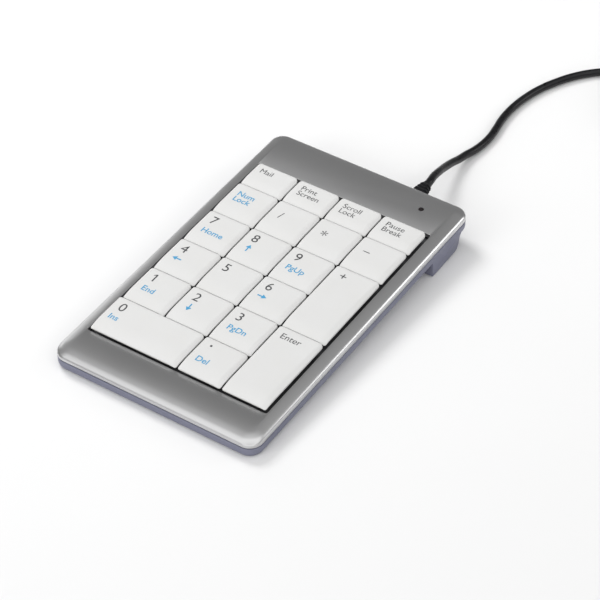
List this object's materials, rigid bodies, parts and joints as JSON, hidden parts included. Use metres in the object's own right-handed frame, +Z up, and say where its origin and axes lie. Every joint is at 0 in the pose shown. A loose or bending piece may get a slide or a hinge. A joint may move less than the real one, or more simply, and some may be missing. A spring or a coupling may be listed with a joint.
{
  "type": "numeric keypad",
  "caption": "Slim wired numeric keypad: low-profile white keys that press down, silver top cover, blue-grey tray with two rear feet, and a USB cord in a coil.",
  "frame": {"origin": "on the desk, under the middle of the housing", "axes": "+Z up, +Y towards the rear edge where the cord leaves, +X to the right of the person typing"},
  "size_m": [0.1505, 0.2982, 0.0159],
  "materials": {
    "silver_paint": "satin metallic silver paint on ABS",
    "blue_grey_plastic": "fine-textured blue-grey ABS",
    "white_keycap": "smooth off-white ABS with printed legends",
    "black_plastic": "black ABS",
    "silicone_domes": "translucent silicone",
    "membrane_film": "clear polyester film with printed silver tracks",
    "plate_steel": "stamped steel sheet",
    "screw_steel": "zinc-plated steel",
    "spring_wire": "drawn spring wire",
    "circuit_board": "green solder mask on laminate",
    "chip_epoxy": "black epoxy",
    "clamp_plastic": "black plastic",
    "header_nylon": "white nylon",
    "led_epoxy": "tinted clear epoxy",
    "led_lens": "dark smoked polycarbonate",
    "foot_rubber": "dark grey rubber",
    "relief_pvc": "black soft PVC",
    "cord_pvc": "black PVC sheath",
    "plug_overmould": "black overmoulded PVC",
    "plug_steel": "nickel-plated steel",
    "plug_insulator": "white plastic with gold contacts"
  },
  "bodies": {
    "housing": {"top_cover": "silver_paint", "bottom_cover": "blue_grey_plastic", "key_guide_frame": "black_plastic", "dome_sheet": "silicone_domes", "membrane_circuit": "membrane_film", "support_plate": "plate_steel", "controller_board": "circuit_board", "controller_chip": "chip_epoxy", "membrane_clamp_bar": "clamp_plastic", "clamp_screw_1": "screw_steel", "clamp_screw_2": "screw_steel", "cord_header": "header_nylon", "status_led": "led_epoxy", "led_window": "led_lens", "case_screw_1": "screw_steel", "case_screw_2": "screw_steel", "case_screw_3": "screw_steel", "case_screw_4": "screw_steel", "case_screw_5": "screw_steel", "case_screw_6": "screw_steel", "foot_pad_front_left": "foot_rubber", "foot_pad_front_right": "foot_rubber", "foot_pad_rear_left": "foot_rubber", "foot_pad_rear_right": "foot_rubber", "cord_strain_relief": "relief_pvc", "cord_inner_lead": "cord_pvc", "usb_cord": "cord_pvc", "usb_cord_coil": "cord_pvc", "usb_cord_tail": "cord_pvc", "usb_plug_grip": "plug_overmould", "usb_plug_shell": "plug_steel", "usb_plug_tongue": "plug_insulator"},
    "mail_key": {"key_mail": "white_keycap"},
    "print_screen_key": {"key_print_screen": "white_keycap"},
    "scroll_lock_key": {"key_scroll_lock": "white_keycap"},
    "pause_key": {"key_pause": "white_keycap"},
    "num_lock_key": {"key_num_lock": "white_keycap"},
    "divide_key": {"key_divide": "white_keycap"},
    "multiply_key": {"key_multiply": "white_keycap"},
    "minus_key": {"key_minus": "white_keycap"},
    "7_key": {"key_7": "white_keycap"},
    "8_key": {"key_8": "white_keycap"},
    "9_key": {"key_9": "white_keycap"},
    "plus_key": {"key_plus": "white_keycap"},
    "4_key": {"key_4": "white_keycap"},
    "5_key": {"key_5": "white_keycap"},
    "6_key": {"key_6": "white_keycap"},
    "1_key": {"key_1": "white_keycap"},
    "2_key": {"key_2": "white_keycap"},
    "3_key": {"key_3": "white_keycap"},
    "enter_key": {"key_enter": "white_keycap"},
    "0_key": {"key_0": "white_keycap"},
    "decimal_key": {"key_decimal": "white_keycap"},
    "plus_stabiliser": {"stabiliser_plus": "spring_wire"},
    "enter_stabiliser": {"stabiliser_enter": "spring_wire"},
    "0_stabiliser": {"stabiliser_0": "spring_wire"}
  },
  "joints": [
    {"name": "mail_press", "type": "slide", "parent": "housing", "child": "mail_key", "axis": [0, 0.0506, -0.9987], "range_m": [0, 0.002], "stiffness_N_per_m": 220, "springref_m": -0.001, "deforming": ["dome_sheet"]},
    {"name": "print_screen_press", "type": "slide", "parent": "housing", "child": "print_screen_key", "axis": [0, 0.0506, -0.9987], "range_m": [0, 0.002], "stiffness_N_per_m": 220, "springref_m": -0.001},
    {"name": "scroll_lock_press", "type": "slide", "parent": "housing", "child": "scroll_lock_key", "axis": [0, 0.0506, -0.9987], "range_m": [0, 0.002], "stiffness_N_per_m": 220, "springref_m": -0.001},
    {"name": "pause_press", "type": "slide", "parent": "housing", "child": "pause_key", "axis": [0, 0.0506, -0.9987], "range_m": [0, 0.002], "stiffness_N_per_m": 220, "springref_m": -0.001},
    {"name": "num_lock_press", "type": "slide", "parent": "housing", "child": "num_lock_key", "axis": [0, 0.0506, -0.9987], "range_m": [0, 0.002], "stiffness_N_per_m": 220, "springref_m": -0.001},
    {"name": "divide_press", "type": "slide", "parent": "housing", "child": "divide_key", "axis": [0, 0.0506, -0.9987], "range_m": [0, 0.002], "stiffness_N_per_m": 220, "springref_m": -0.001},
    {"name": "multiply_press", "type": "slide", "parent": "housing", "child": "multiply_key", "axis": [0, 0.0506, -0.9987], "range_m": [0, 0.002], "stiffness_N_per_m": 220, "springref_m": -0.001},
    {"name": "minus_press", "type": "slide", "parent": "housing", "child": "minus_key", "axis": [0, 0.0506, -0.9987], "range_m": [0, 0.002], "stiffness_N_per_m": 220, "springref_m": -0.001},
    {"name": "7_press", "type": "slide", "parent": "housing", "child": "7_key", "axis": [0, 0.0506, -0.9987], "range_m": [0, 0.002], "stiffness_N_per_m": 220, "springref_m": -0.001},
    {"name": "8_press", "type": "slide", "parent": "housing", "child": "8_key", "axis": [0, 0.0506, -0.9987], "range_m": [0, 0.002], "stiffness_N_per_m": 220, "springref_m": -0.001},
    {"name": "9_press", "type": "slide", "parent": "housing", "child": "9_key", "axis": [0, 0.0506, -0.9987], "range_m": [0, 0.002], "stiffness_N_per_m": 220, "springref_m": -0.001},
    {"name": "plus_press", "type": "slide", "parent": "housing", "child": "plus_key", "axis": [0, 0.0506, -0.9987], "range_m": [0, 0.002], "stiffness_N_per_m": 260, "springref_m": -0.001},
    {"name": "4_press", "type": "slide", "parent": "housing", "child": "4_key", "axis": [0, 0.0506, -0.9987], "range_m": [0, 0.002], "stiffness_N_per_m": 220, "springref_m": -0.001},
    {"name": "5_press", "type": "slide", "parent": "housing", "child": "5_key", "axis": [0, 0.0506, -0.9987], "range_m": [0, 0.002], "stiffness_N_per_m": 220, "springref_m": -0.001},
    {"name": "6_press", "type": "slide", "parent": "housing", "child": "6_key", "axis": [0, 0.0506, -0.9987], "range_m": [0, 0.002], "stiffness_N_per_m": 220, "springref_m": -0.001},
    {"name": "1_press", "type": "slide", "parent": "housing", "child": "1_key", "axis": [0, 0.0506, -0.9987], "range_m": [0, 0.002], "stiffness_N_per_m": 220, "springref_m": -0.001},
    {"name": "2_press", "type": "slide", "parent": "housing", "child": "2_key", "axis": [0, 0.0506, -0.9987], "range_m": [0, 0.002], "stiffness_N_per_m": 220, "springref_m": -0.001},
    {"name": "3_press", "type": "slide", "parent": "housing", "child": "3_key", "axis": [0, 0.0506, -0.9987], "range_m": [0, 0.002], "stiffness_N_per_m": 220, "springref_m": -0.001},
    {"name": "enter_press", "type": "slide", "parent": "housing", "child": "enter_key", "axis": [0, 0.0506, -0.9987], "range_m": [0, 0.002], "stiffness_N_per_m": 260, "springref_m": -0.001},
    {"name": "0_press", "type": "slide", "parent": "housing", "child": "0_key", "axis": [0, 0.0506, -0.9987], "range_m": [0, 0.002], "stiffness_N_per_m": 260, "springref_m": -0.001},
    {"name": "decimal_press", "type": "slide", "parent": "housing", "child": "decimal_key", "axis": [0, 0.0506, -0.9987], "range_m": [0, 0.002], "stiffness_N_per_m": 220, "springref_m": -0.001},
    {"name": "plus_stabiliser_turn", "type": "hinge", "parent": "housing", "child": "plus_stabiliser", "pos_m": [0.0271, -0.00089, 0.00864], "axis": [0, 0.9987, 0.0506], "range_deg": [-19.24, 0]},
    {"name": "enter_stabiliser_turn", "type": "hinge", "parent": "housing", "child": "enter_stabiliser", "pos_m": [0.0271, -0.03884, 0.00671], "axis": [0, 0.9987, 0.0506], "range_deg": [-19.24, 0]},
    {"name": "0_stabiliser_turn", "type": "hinge", "parent": "housing", "child": "0_stabiliser", "pos_m": [-0.019, -0.04693, 0.0063], "axis": [1, 0, 0], "range_deg": [-19.24, 0]}
  ],
  "couplings": [
    {"joint": "plus_stabiliser_turn", "follows": "plus_press", "rad_per_m": -167.45},
    {"joint": "enter_stabiliser_turn", "follows": "enter_press", "rad_per_m": -167.45},
    {"joint": "0_stabiliser_turn", "follows": "0_press", "rad_per_m": -167.45}
  ]
}
